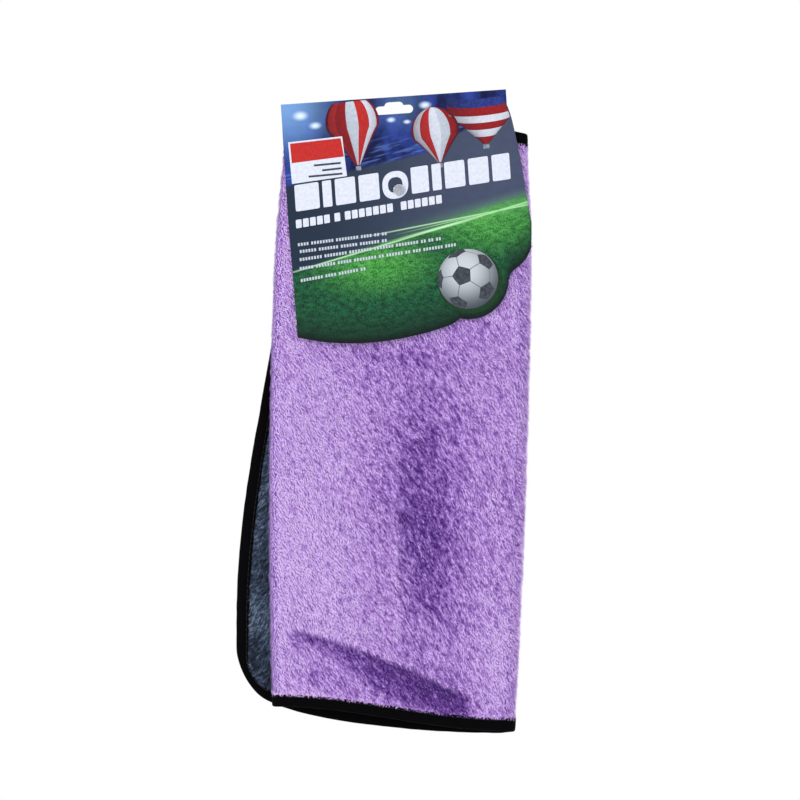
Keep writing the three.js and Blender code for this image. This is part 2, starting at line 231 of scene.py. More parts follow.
class Nodes:
    """A material's node tree, built a line at a time."""

    def __init__(self, name):
        self.material = bpy.data.materials.new(name)
        self.material.use_nodes = True
        self.tree = self.material.node_tree
        self.shader = self.tree.nodes["Principled BSDF"]

    def set(self, **values):
        for name, value in values.items():
            self.shader.inputs[name.replace("_", " ")].default_value = value

    def node(self, kind, inputs=(), **settings):
        """A new node; a value that is another node's output is linked, any other is set."""
        node = self.tree.nodes.new(kind)
        for key, value in settings.items():
            setattr(node, key, value)
        for key, value in dict(inputs).items():
            if hasattr(value, "links"):
                self.tree.links.new(value, node.inputs[key])
            else:
                node.inputs[key].default_value = value
        return node

    def math(self, operation, *values, clamp=False):
        return self.node("ShaderNodeMath", enumerate(values), operation=operation,
                         use_clamp=clamp).outputs[0]

    def times(self, a, b):
        return self.math("MULTIPLY", a, b)

    def ramp(self, value, low, high):
        """0 below low, 1 above high, smooth between."""
        return self.node("ShaderNodeMapRange", {0: value, 1: low, 2: high},
                         interpolation_type="SMOOTHSTEP").outputs[0]

    def mix(self, share, a, b):
        return self.node("ShaderNodeMix", {0: share, 6: a, 7: b}, data_type="RGBA").outputs[2]

    def attribute(self, name):
        return self.node("ShaderNodeAttribute", attribute_name=name).outputs["Fac"]

    def mapped(self, where, scale=(1, 1, 1), turn=(0, 0, 0)):
        return self.node("ShaderNodeMapping", {"Vector": where, "Scale": scale, "Rotation": turn}).outputs[0]

    def coordinates(self, kind="Object", scale=(1, 1, 1), turn=0.0):
        return self.mapped(self.node("ShaderNodeTexCoord").outputs[kind], scale, (0, turn, 0))

    def noise(self, where, scale, detail=2.0, roughness=0.5):
        return self.node("ShaderNodeTexNoise", {"Vector": where, "Scale": scale, "Detail": detail,
                                                "Roughness": roughness}).outputs[0]

    def bump(self, height, strength, distance):
        bump = self.node("ShaderNodeBump", {"Strength": strength, "Distance": distance, "Height": height})
        self.tree.links.new(bump.outputs[0], self.shader.inputs["Normal"])

    def colour(self, value):
        self.tree.links.new(value, self.shader.inputs["Base Color"])


def plush_ground(name, deep, light):
    """The backing that shows between tufts, darker than them as painted shade under the pile: uneven in
    colour, with a fine knit under the pile.
    """
    m = Nodes(name)
    where = m.coordinates()
    clumps = m.noise(where, 420, 3, 0.6)
    strands = m.noise(m.coordinates(scale=(1, 1, 0.35), turn=-0.6), 1500, 2, 0.6)
    level = m.math("MULTIPLY_ADD", strands, 0.5, m.times(clumps, 0.5))
    m.colour(m.mix(m.ramp(level, 0.35, 0.68), deep, light))
    m.bump(level, 0.6, 0.0006)
    m.set(Roughness=0.95, Sheen_Weight=0.35, Sheen_Roughness=0.5, Specular_IOR_Level=0.15)
    return m.material


def pile_material(name, shades):
    """Fibre tufts: each has its own tone, with painted shade darkening it towards the root, a mottle along it
    and a soft sheen.
    """
    m = Nodes(name)
    mottle = m.noise(m.coordinates(), 1400, 2, 0.6)
    # painted shade: darker towards each tuft's root; the mottle is tone at random
    root_shade_and_mottle = m.math("MULTIPLY_ADD", m.attribute("along"), 0.22, m.math("MULTIPLY_ADD", mottle, 0.24, -0.185))
    ramp = m.node("ShaderNodeValToRGB", {0: m.math("ADD", m.attribute("tone"), root_shade_and_mottle)})
    stops = ramp.color_ramp.elements
    stops[0].position, stops[1].position = 0.5 / len(shades), 1 - 0.5 / len(shades)
    stops[0].color, stops[1].color = shades[0], shades[-1]
    for index, shade in enumerate(shades[1:-1]):
        stops.new((index + 1.5) / len(shades)).color = shade
    m.colour(ramp.outputs[0])
    m.set(Roughness=0.85, Sheen_Weight=0.25, Sheen_Roughness=0.45, Specular_IOR_Level=0.2)
    return m.material


def tape_material():
    """Black polyester binding: a fine diagonal weave, lint and a dull sheen on its nap."""
    m = Nodes("binding_weave")
    where = m.coordinates("UV")
    wave = m.node("ShaderNodeTexWave", {"Vector": where, "Scale": 9.0, "Distortion": 0.6,
                                        "Detail": 1.0}, bands_direction="DIAGONAL").outputs[1]
    cloud = m.noise(m.coordinates(), 90, 3, 0.6)
    lint = m.ramp(m.noise(m.coordinates(), 1900, 1, 0.5), 0.70, 0.80)
    weave = m.mix(wave, srgb(1, 1, 1), srgb(6, 6, 8))
    worn = m.mix(m.times(cloud, 0.4), weave, srgb(8, 7, 10))
    m.colour(m.mix(m.times(lint, 0.2), worn, srgb(36, 34, 44)))
    m.bump(wave, 0.5, 0.0003)
    m.set(Roughness=0.85, Sheen_Weight=0.005, Sheen_Roughness=0.4, Specular_IOR_Level=0.03)
    return m.material


def mottled(name, colour, other, noise, bump, edges=None, stretch=1, **settings):
    """A material whose colour and height follow one noise, given as its scale, detail and roughness."""
    m = Nodes(name)
    level = m.noise(m.coordinates(scale=(1, 1, stretch)), *noise)
    m.colour(m.mix(m.ramp(level, *edges) if edges else level, colour, other))
    m.bump(level, *bump)
    m.set(**settings)
    return m.material


# ---------- the folded cloth ----------

def pitch(v):
    return PITCH * lerp(SQUEEZED, 1.0, smooth((CLOTH_HEIGHT - v) / SQUEEZE_LENGTH))


def half_layer(v):
    return (pitch(v) - LAYER_GAP) / 2


def left_fold_x(h):
    return LEFTMOST + 14 * (h - 0.35) ** 2


def right_fold_x(h):
    return RIGHTMOST - 9 * (1 - h) ** 2


def back_edge_x(h):
    return RIGHTMOST - BACK_PANEL + 27 * smooth((h - 0.12) / 0.83)


HEM = CLOTH_TOP - CLOTH_HEIGHT


def lower_tucked(f):
    return HEM - 3 * f


def lower_front(f):
    return HEM - 12 * smooth(f)


def lower_back(f):
    return HEM - 14 + 17 * f ** 2 + 11 * f ** 10


def upper_tucked(f):
    return CLOTH_TOP - 13 + 4 * f


def upper_front(f):
    return CLOTH_TOP - 13 + 9.5 * f - 5 * f ** 8


def upper_back(f):
    return CLOTH_TOP - 10 + 5 * smooth(f / 0.15) - 7 * f


def crease_depth(x, z):
    """Distance below the slanting crease near the hem, and how strong the crease is there."""
    along = x - CREASE_FROM[0]
    below = CREASE_FROM[1] - CREASE_SLOPE * along - CREASE_DROOP * along ** 2 - z
    strength = smooth((along + 4) / 9) * smooth((96 - along) / 16)
    return below, strength


def ripple(x, z):
    """How far the towel's front swells towards the viewer, in millimetres. It lies flat under the card."""
    free = smooth((-122 - z) / 60)
    soft = 2.0 * blob(x, z, (-30, -215), (24, 120)) - 1.7 * blob(x, z, (22, -220), (18, 80))
    soft += 1.3 * blob(x, z, (54, -240), (15, 90))
    step = -0.9 * smooth((x - FOLD_LINE) / 2.5) * blob(x, z, (FOLD_LINE, -220), (12, 52))
    below, strength = crease_depth(x, z)
    crease = -2.1 * strength * smooth((below + 1) / 3.5) * np.exp(-(np.maximum(below, 0) / 8) ** 2)
    crease += 1.2 * strength * np.exp(-((below + 3) / 4) ** 2)
    return free * (soft + step + crease)


def place(s, v, n):
    """Points on the folded cloth, in millimetres."""
    s, v, n = np.broadcast_arrays(np.asarray(s, float), np.asarray(v, float), np.asarray(n, float))
    h = v / CLOTH_HEIGHT
    p = pitch(v)
    left, right = left_fold_x(h), right_fold_x(h)
    x, y, z = np.zeros_like(s), np.zeros_like(s), np.zeros_like(s)

    def put(where, px, py, low, high):
        x[where] = px[where]
        y[where] = py[where]
        z[where] = lerp(low, high, h)[where]

    f = np.clip((S_LEFT - s) / TUCKED_PANEL, 0, 1)
    put(s < S_LEFT, lerp(left, right - TUCK_CLEARANCE, f), n, lower_tucked(f), upper_tucked(f))
    turn = math.pi * (S_FRONT - s) / LEFT_FOLD
    zero = np.zeros_like(s)
    put((s >= S_LEFT) & (s < S_FRONT), left - (p / 2 + n) * np.sin(turn),
        -p / 2 - (p / 2 + n) * np.cos(turn), lower_front(zero), upper_front(zero))
    f = np.clip((s - S_FRONT) / FRONT_PANEL, 0, 1)
    put((s >= S_FRONT) & (s <= S_RIGHT), lerp(left, right, f), -p - n, lower_front(f), upper_front(f))
    share = np.clip((s - S_RIGHT) / RIGHT_FOLD, 0, 1)
    turn = math.pi * share
    put((s > S_RIGHT) & (s < S_BACK), right + (p + n) * np.sin(turn), -(p + n) * np.cos(turn),
        lerp(lower_front(zero + 1), lower_back(zero), share),
        lerp(upper_front(zero + 1), upper_back(zero), share))
    f = np.clip((s - S_BACK) / BACK_PANEL, 0, 1.05)
    put(s >= S_BACK, lerp(right, back_edge_x(h), f), p + n, lower_back(f), upper_back(f))
    y = y - ripple(x, z)
    return np.stack([x, y, z], axis=-1)


def normals_at(s, v, side):
    """The cloth's outward direction on the purple (side 1) or grey (side -1) face."""
    step = 0.4
    across = place(s + step, v, 0.0) - place(s - step, v, 0.0)
    up = place(s, v + step, 0.0) - place(s, v - step, 0.0)
    out = np.cross(across, up)
    outwards = place(s, v, 1.0) - place(s, v, 0.0)
    out *= np.sign((out * outwards).sum(-1, keepdims=True))
    return unit(out) * side, unit(across), unit(up)


def depth_in(s, v):
    """Distance inwards from the cloth's rim, corners rounded."""
    half_s, half_v = CLOTH_WIDTH / 2, CLOTH_HEIGHT / 2
    a = np.abs(s - half_s) - half_s + CORNER_RADIUS
    b = np.abs(v - half_v) - half_v + CORNER_RADIUS
    outside = np.hypot(np.maximum(a, 0), np.maximum(b, 0))
    return CORNER_RADIUS - outside - np.minimum(np.maximum(a, b), 0)


def pile_base(s, v, side, lumps):
    """Distance from the cloth's middle to the backing under the tufts."""
    full = half_layer(v) - PILE_HEIGHT + 0.20 * lumps(s, v, 3.1) + 0.20 * lumps(s + 70, v, 1.6)
    flat = half_layer(v) - TAPE_WALL - 0.25
    rise = smooth((depth_in(s, v) - TAPE_WIDTH + 0.3) / 1.5)
    return side * lerp(np.minimum(flat, full), full, rise)


def from_rivet(points):
    """Distance of points from the rivet's axis."""
    return np.hypot(points[:, 0] - RIVET_X, points[:, 2] - RIVET_Z)


def stations(spans):
    """Positions along a line, each span (from, to, largest step) evenly divided."""
    out = []
    for low, high, step in spans:
        count = max(1, math.ceil((high - low) / step))
        out.extend(low + (high - low) * i / count for i in range(count))
    out.append(spans[-1][1])
    return np.array(out)


def ply_mesh(name, side, spans, up_step, material):
    """The visible face of one ply, as a sheet of backing with the lumps of its pile."""
    inset = 0.6
    across = stations(spans)
    radius = CORNER_RADIUS - inset
    up = stations([(inset, CORNER_RADIUS, 1.0), (CORNER_RADIUS, CLOTH_HEIGHT - CORNER_RADIUS, up_step),
                   (CLOTH_HEIGHT - CORNER_RADIUS, CLOTH_HEIGHT - inset, 1.0)])
    s, v = np.meshgrid(across, up)
    over = np.maximum(CORNER_RADIUS - v, v - (CLOTH_HEIGHT - CORNER_RADIUS)).clip(0, radius)
    edge = CORNER_RADIUS - np.sqrt(radius ** 2 - over ** 2)
    reach = CORNER_RADIUS + 4
    s = np.where(s < reach, lerp(edge, reach, s / reach), s)
    back = CLOTH_WIDTH - s
    s = np.where(back < reach, CLOTH_WIDTH - lerp(edge, reach, back / reach), s)
    lumps = noise_field(11 if side > 0 else 12)
    points = place(s, v, pile_base(s, v, side, lumps)).reshape(-1, 3)
    faces = grid_faces(len(up), len(across), flip=side > 0)
    whole = from_rivet(points)[faces].min(axis=1) > HOLE_RADIUS
    return mesh_object(name, points, [faces[whole]], [material])


# ---------- the pile ----------

def tufts(name, s, v, side, shade, material, seed, lean=None, length=1.3, lift=0.75, ground=None):
    """Short bent blades of fibre standing on the backing.

    shade is each blade's lightness from 0 to 1. lean is the direction that a blade lies in,
    as an angle in the cloth's (s, v) plane.
    """
    clear = from_rivet(place(s, v, 0.0)) > HOLE_RADIUS + 0.6
    s, v, shade = s[clear], v[clear], shade[clear]
    rng = np.random.default_rng(seed)
    lumps = noise_field(11 if side > 0 else 12)
    swirl = noise_field(seed + 1)
    base = pile_base(s, v, side, lumps) if ground is None else side * ground
    root = place(s, v, base)
    out, across, up = normals_at(s, v, side)
    if lean is None:
        lean = LAY + 0.18 * swirl(s, v, 14.0) + 0.16 * swirl(s, v + 300, 4.0)
        lean = lean + rng.normal(0, 0.15, len(s))
    along = unit(across * np.cos(lean)[:, None] + up * np.sin(lean)[:, None])
    beside = np.cross(out, along)
    size = rng.uniform(0.75, 1.25, len(s))
    reach = (length * size)[:, None]
    rise = lift * size * rng.uniform(0.7, 1.25, len(s))
    rise = np.minimum(rise, half_layer(v) + CROWN - side * base)[:, None]
    width = (TUFT_WIDTH * rng.uniform(0.8, 1.2, len(s)))[:, None]
    middle = root + along * reach * 0.45 + out * rise * 0.8
    tip = root + along * reach + out * rise
    points = np.stack([root - beside * width, root + beside * width, middle + beside * width * 0.95,
                       middle - beside * width * 0.95, tip], axis=1)
    first = 5 * np.arange(len(s))[:, None]
    quads = first + np.array([[3, 2, 1, 0]])
    tips = first + np.array([[4, 2, 3]])
    # fine light and dark streaks of tone, three times as long as wide, that follow the lay of the nap; the
    # darkest are deepened into painted shade between strands, and tones spread wider where the cloth is
    # painted darker
    dash_along = s * math.cos(LAY) + v * math.sin(LAY)
    dash_across = v * math.cos(LAY) - s * math.sin(LAY)
    dashes = noise_field(seed + 2)(dash_along / 3.0, dash_across, 0.75)
    spread = 0.06 + 0.15 * np.clip(0.75 - shade, 0, 1)
    dashes = dashes - 0.9 * np.maximum(-dashes - 0.35, 0)
    tone = shade + rng.normal(0, 1, len(s)) * spread + (0.18 + spread) * dashes
    made = mesh_object(name, points.reshape(-1, 3), [quads, tips], [material])
    add_value(made, "tone", np.repeat(tone, 5))
    add_value(made, "along", np.tile([0.0, 0.0, 0.55, 0.55, 1.0], len(s)))
    # a map for baking: every tuft lies in a square cell of its own
    cells = math.ceil(math.sqrt(len(s)))
    cell = np.stack([np.arange(len(s)) % cells, np.arange(len(s)) // cells], axis=1)
    shape = np.array([(0.15, 0.15), (0.85, 0.15), (0.80, 0.55), (0.20, 0.55), (0.5, 0.88)])
    add_uv(made, "OFBake", ((cell[:, None] + shape) / cells).reshape(-1, 2))
    # the tufts are shaded as a soft surface that turns with each tuft, not as stiff flat blades
    tilt = rng.normal(0, 0.22, (len(s), 3))
    nod = np.array([-0.15, -0.15, 0.1, 0.1, 0.35])[:, None]
    soft = unit(out[:, None, :] + tilt[:, None, :] + along[:, None, :] * nod)
    made.data.normals_split_custom_set_from_vertices(soft.reshape(-1, 3).tolist())
    return made


def scattered(low, high, bottom, top, spacing, seed):
    """Points (s, v) spread evenly at random over a patch of cloth."""
    rng = np.random.default_rng(seed)
    across = max(1, int((high - low) / spacing))
    upwards = max(1, int((top - bottom) / spacing))
    s, v = np.meshgrid(np.arange(across), np.arange(upwards))
    s = low + (s.ravel() + rng.uniform(0, 1, s.size)) * (high - low) / across
    v = bottom + (v.ravel() + rng.uniform(0, 1, v.size)) * (top - bottom) / upwards
    return s, v


def within(inset, s, v):
    """The points that lie further than inset inside the rim."""
    keep = depth_in(s, v) > inset
    return s[keep], v[keep]


def purple_painted_light(s, v):
    """Painted light and shade on the purple side, 0 to 1: lighter towards the lamp on the left, with the
    folds, the crease and the card's shadow on the front, and patches of tone at random elsewhere.
    """
    at = place(s, v, 0.0)
    x, z = at[:, 0], at[:, 2]
    # painted light: lighter to the left, towards the lamp
    shade = 0.80 - 0.11 * smooth((x + 40) / 80)
    for strength, middle, size, turn in PAINTED_LIGHT_MARKS:
        shade = shade + strength * blob(x, z, middle, size, turn)
    # painted shade on the side of the upright fold turned from the light
    shade = shade - 0.25 * smooth((x - FOLD_LINE + 1.5) / 5) * blob(x, z, (12, -218), (22, 60))
    # painted shade in the crease near the hem
    below, strength = crease_depth(x, z)
    reach = 10.0 + 9.0 * smooth((x + 45) / 45)
    under = smooth((below + 1.4) / 3.4) * np.exp(-(np.maximum(below, 0) / reach) ** 3)
    shade = shade - 0.52 * strength * under
    # painted highlight along the left fold
    shade = shade + 0.30 * smooth((S_FRONT + 1.5 - s) / 4)
    front = (s > S_LEFT) & (s < S_BACK)
    patches = noise_field(31)
    plain = 0.66 + 0.10 * patches(s, v, 60)
    return np.where(front, shade, plain) + 0.035 * patches(s, v, 16) + 0.02 * patches(s + 40, v, 5)


def rim_fringe(low, high, step, seed):
    """Points just inside the binding, with the direction that leads out over it."""
    rng = np.random.default_rng(seed)
    rim = rim_line(0.5)
    s, v, inward = rim[:, 0], rim[:, 1], rim[:, 2:]
    keep = (s > low) & (s < high)
    s, v, inward = s[keep], v[keep], inward[keep]
    repeat = max(1, int(0.5 / step))
    s, v, inward = np.repeat(s, repeat), np.repeat(v, repeat), np.repeat(inward, repeat, axis=0)
    depth = rng.uniform(TAPE_WIDTH - 0.3, TAPE_WIDTH + 1.6, len(s))
    s, v = s + inward[:, 0] * depth, v + inward[:, 1] * depth
    lean = np.arctan2(-inward[:, 1], -inward[:, 0]) + rng.normal(0, 0.5, len(s))
    return s, v, lean


def rim_line(step):
    """Once round the cloth's rim: s, v and the direction inwards, about step apart."""
    right, top, r = CLOTH_WIDTH - CORNER_RADIUS, CLOTH_HEIGHT - CORNER_RADIUS, CORNER_RADIUS
    turns = np.linspace(0, math.pi / 2, max(3, int(r * math.pi / 2 / step)), endpoint=False)
    rows = []

    def side(a, b, inward):
        count = max(2, int(math.dist(a, b) / step))
        t = np.linspace(0, 1, count, endpoint=False)[:, None]
        at = np.array(a) + t * (np.array(b) - np.array(a))
        rows.append(np.hstack([at, np.repeat([inward], count, axis=0)]))

    def corner(centre, start):
        a = start + turns
        out = np.stack([np.cos(a), np.sin(a)], axis=1)
        rows.append(np.hstack([np.array(centre) + r * out, -out]))

    side((r, 0), (right, 0), (0, 1))
    corner((right, r), -math.pi / 2)
    side((CLOTH_WIDTH, r), (CLOTH_WIDTH, top), (-1, 0))
    corner((right, top), 0)
    side((right, CLOTH_HEIGHT), (r, CLOTH_HEIGHT), (0, -1))
    corner((r, top), math.pi / 2)
    side((0, top), (0, r), (1, 0))
    corner((r, r), math.pi)
    return np.vstack(rows)


# ---------- binding and seam ----------

def tape_section():
    """The folded tape's section: distance inwards, share of the half thickness, depth below its face."""
    outer = [(TAPE_WIDTH, 1, 0.06), (5.9, 1, 0.0), (5.4, 1, 0.14), (4.9, 1, 0.0), (2.8, 1, -0.05),
             (1.0, 0.98, 0.0), (0.3, 0.8, 0.0), (0.0, 0.4, 0.0)]
    other = [(d, -share, depth) for d, share, depth in reversed(outer)]
    inner = [(d, share, TAPE_WALL) for d, share in ((TAPE_WIDTH, -1), (0.5, -1), (0.5, 1), (TAPE_WIDTH, 1))]
    return outer + other + inner


def binding_mesh(material):
    """The tape: its section swept round the rim, puckered a little and closed on itself."""
    step = 1.2
    rim = rim_line(step)
    count = len(rim)
    pucker = noise_field(41)
    along = np.arange(count) * step
    rows = []
    for inward, share, depth in tape_section():
        wobble = 0.25 * pucker(along, along * 0, 17) + 0.18 * pucker(along + 500, along * 0, 5)
        reach = inward + (wobble if inward > 4 else 0.4 * wobble)
        s, v = rim[:, 0] + rim[:, 2] * reach, rim[:, 1] + rim[:, 3] * reach
        face = share * half_layer(v) - np.sign(share) * depth
        if depth < TAPE_WALL and abs(share) > 0.9:
            face = face - np.sign(share) * 0.10 * (1 + pucker(along, along * 0 + inward, 3.2))
        rows.append(place(s, v, face))
    points = np.stack(rows)
    quads = grid_faces(len(rows) + 1, count, closed=True) % (len(rows) * count)
    made = mesh_object("towel_edge_binding", points.reshape(-1, 3), [quads], [material])
    girth = np.concatenate([[0], np.cumsum(np.linalg.norm(np.diff(points[:, 0], axis=0), axis=1))])
    position = np.stack(np.meshgrid(np.arange(count) * 0.12, girth * 0.1), axis=-1)
    add_uv(made, "tape", position.reshape(-1, 2))
    return made


def stitch_mesh(name, side, material):
    """A row of lockstitches sunk a little into the tape, each a small rounded bar of thread."""
    spacing, long, thick, inset = 3.0, 2.3, 0.24, 5.35
    at = np.array([-0.5, -0.38, 0.0, 0.38, 0.5])[:, None]
    size = thick * np.array([0.45, 0.9, 1.0, 0.9, 0.45])[:, None]
    around = 2 * math.pi * np.arange(6) / 6
    inwards = inset + np.cos(around) * size
    height = np.sin(around) * 0.8 * size - (0.10 - 0.16 * (1 - (2 * at) ** 2))
    s0, v0, in_s, in_v = rim_line(spacing).T[:, :, None, None]
    s = s0 + in_s * inwards - in_v * at * long
    v = v0 + in_v * inwards + in_s * at * long
    points = place(s, v, side * (half_layer(v) + height)).reshape(-1, 3)
    first = height.size * np.arange(len(s))[:, None]
    ring = np.arange(6)
    tube = grid_faces(5, 6, closed=True)
    quads = (first[:, :, None] + tube).reshape(-1, 4)
    return mesh_object(name, points, [quads, first + ring[::-1], first + 24 + ring], [material])


# ---------- build the towel ----------

# the backings' colours are darker than their tufts': painted shade deep in the pile
purple_ground = plush_ground("purple_backing", srgb(86, 46, 130), srgb(152, 108, 192))
grey_ground = plush_ground("grey_backing", srgb(16, 22, 34), srgb(52, 64, 84))
PURPLE_SHADES = [srgb(58, 22, 104), srgb(92, 50, 140), srgb(136, 92, 182), srgb(178, 136, 218),
                 srgb(208, 170, 240), srgb(226, 196, 250)]
GREY_SHADES = [srgb(10, 16, 28), srgb(32, 43, 62), srgb(60, 75, 97), srgb(108, 124, 146)]
purple_pile = pile_material("purple_pile", PURPLE_SHADES)
grey_pile = pile_material("grey_pile", GREY_SHADES)
tape_cloth = tape_material()
thread = mottled("seam_thread", srgb(6, 6, 8), srgb(28, 27, 33), (3200, 1, 0.5), (0.5, 0.0002),
                 edges=(0.35, 0.65), stretch=2, Roughness=0.55, Sheen_Weight=0.03, Specular_IOR_Level=0.12)

purple = ply_mesh("purple_plush_ply", 1, [
    (0, S_LEFT, 4.0), (S_LEFT, S_FRONT, 0.5), (S_FRONT, S_RIGHT, 1.0), (S_RIGHT, S_BACK, 0.8),
    (S_BACK, CLOTH_WIDTH, 1.3)], 1.1, purple_ground)
grey = ply_mesh("grey_plush_ply", -1, [
    (0, S_LEFT, 4.0), (S_LEFT, S_FRONT, 1.0), (S_FRONT, S_RIGHT, 4.0), (S_RIGHT, S_BACK, 1.5),
    (S_BACK, S_BACK + 90, 4.0), (S_BACK + 90, CLOTH_WIDTH, 0.9)], 1.3, grey_ground)

# the grey side is furnished only where it can be seen
spacing = 0.67
INNER_FROM = CLOTH_WIDTH - 62
inside = TAPE_WIDTH + 0.4
front_piles = []
for part, (low, high) in enumerate(((inside, CLOTH_HEIGHT / 2), (CLOTH_HEIGHT / 2, CLOTH_HEIGHT - inside))):
    s, v = scattered(S_LEFT + 2, S_BACK, low, high, spacing, 1 + 10 * part)
    front_piles.append(tufts(f"purple_pile_front_{part + 1}", s, v, 1, purple_painted_light(s, v), purple_pile,
                             101 + 10 * part))
s, v = within(inside, *scattered(S_BACK, CLOTH_WIDTH - inside, inside, CLOTH_HEIGHT - inside,
                                 spacing * 1.25, 2))
back_pile = tufts("purple_pile_back", s, v, 1, purple_painted_light(s, v), purple_pile, 102, length=1.6)
s, v = within(inside, *scattered(INNER_FROM, CLOTH_WIDTH - inside, inside, CLOTH_HEIGHT * 0.86, spacing, 3))
patch = noise_field(32)
inner_pile = tufts("grey_pile_inner", s, v, -1, 0.5 + 0.2 * patch(s, v, 12), grey_pile, 103, length=1.6)
s, v, lean = rim_fringe(S_LEFT, CLOTH_WIDTH, 0.25, 4)
fringe = tufts("purple_pile_rim", s, v, 1, purple_painted_light(s, v) - 0.04, purple_pile, 104, lean=lean,
               length=1.05, lift=0.40, ground=half_layer(v) - 0.30)
s, v, lean = rim_fringe(INNER_FROM, CLOTH_WIDTH, 0.25, 5)
grey_fringe = tufts("grey_pile_rim", s, v, -1, np.full(len(s), 0.45), grey_pile, 105, lean=lean,
                    length=0.9, lift=0.35, ground=half_layer(v) - 0.30)

binding = binding_mesh(tape_cloth)
stitches_outer = stitch_mesh("binding_stitches_outer", 1, thread)
stitches_inner = stitch_mesh("binding_stitches_inner", -1, thread)

for slot, pieces in (("purple_plush", [purple, *front_piles, back_pile, fringe]),
                     ("grey_plush", [grey, inner_pile, grey_fringe]),
                     ("binding", [binding]), ("thread", [stitches_outer, stitches_inner])):
    for piece in pieces:
        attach(piece, "towel")
for piece, node in ((purple, "purple_ply"), (grey, "grey_ply"), (binding, "edge_binding"),
                    (stitches_outer, "seam_thread_outer"), (stitches_inner, "seam_thread_inner")):
    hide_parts(node)

# ---------- the header card ----------

def half_bundle(v):
    return 1.5 * pitch(v) - LAYER_GAP / 2


def flap_spacing(w):
    """Distance of a flap's inner face from the card's middle plane, with its kinks a little rounded."""
    below = [-CARD_TOP, -HEADER_END, -KINK_END, -RIVET_Z, TOP_REACH + SQUEEZE_LENGTH]
    gaps = [HEADER_GAP, HEADER_GAP] + [half_bundle(CLOTH_HEIGHT + TOP_REACH - d) + CARD_CLEARANCE
                                       for d in below[2:]]
    w = np.asarray(w, float)
    return sum(np.interp(-w + step, below, gaps) for step in (-0.9, -0.3, 0.3, 0.9)) / 4


def right_edge(w):
    """The card's right edge, which flares out below the header."""
    return CARD_HALF + FLARE * np.clip((FLARE_START - w) / (FLARE_START - FLARE_END), 0, 1) ** 0.7


buckle = noise_field(51)


def tilted(u, y, w):
    """The card hangs a little turned on its slot."""
    c, s = math.cos(CARD_TILT), math.sin(CARD_TILT)
    return np.stack([u * c - w * s, y, u * s + w * c], axis=-1)


def card_point(u, w, side, offset):
    """A point over (u, w), offset above the printed face. side is -1 in front and 1 behind."""
    u, w = np.broadcast_arrays(np.asarray(u, float), np.asarray(w, float))
    lift = 0.9 * smooth((-w - 86) / 34) * (1 + 0.5 * buckle(u, u * 0, 40))
    lift = lift + 0.35 * smooth((-w - 12) / 25) * (0.5 + 0.5 * buckle(u, w, 38))
    face = flap_spacing(w) + BOARD
    over = np.clip((w - CARD_TOP + face) / np.maximum(face, 0.1), 0, 1)
    face = np.where(w > 0, face * np.sqrt(1 - over ** 2), face)
    y = side * np.maximum(face + lift + offset * np.sqrt(1 - np.where(w > 0, over, 0) ** 2), 0)
    return tilted(u, y, w)


def quadratic(a, control, b, steps):
    """A curved line from a to b, pulled towards control, without its last point."""
    t = np.linspace(0, 1, steps, endpoint=False)[:, None]
    a, control, b = np.array(a), np.array(control), np.array(b)
    return (1 - t) ** 2 * a + 2 * t * (1 - t) * control + t ** 2 * b


def front_lower_edge(u):
    """The cut lower edge in front: one long curve, then round the printed ball and up to the right."""
    turn = np.linspace(-1.85, -0.15, 24)
    ball = np.stack([BALL_U + BALL_OUTLINE * np.cos(turn), BALL_W + BALL_OUTLINE * np.sin(turn)], axis=1)
    line = np.vstack([quadratic((-55.8, -112), (-22, -122), (19, -111.2), 30),
                      quadratic((19, -111.2), (22.5, -110.2), (25.5, -107.7), 6), ball,
                      quadratic(tuple(ball[-1]), (51.5, -87.2), (54.5, -85.2), 6),
                      quadratic((54.5, -85.2), (61.5, -81.5), (64.2, -73.5), 10),
                      [(64.2, -73.5), (64.6, -64)]])
    return np.interp(u, line[:, 0], line[:, 1])


def back_lower_edge(u):
    """Straight, with rounded corners."""
    middle = (BACK_FLAP_RIGHT - CARD_HALF) / 2
    reach = (BACK_FLAP_RIGHT + CARD_HALF) / 2 - 3
    round_off = 3 - np.sqrt(np.maximum(9 - np.maximum(np.abs(u - middle) - reach, 0) ** 2, 0))
    return BACK_FLAP_END + round_off


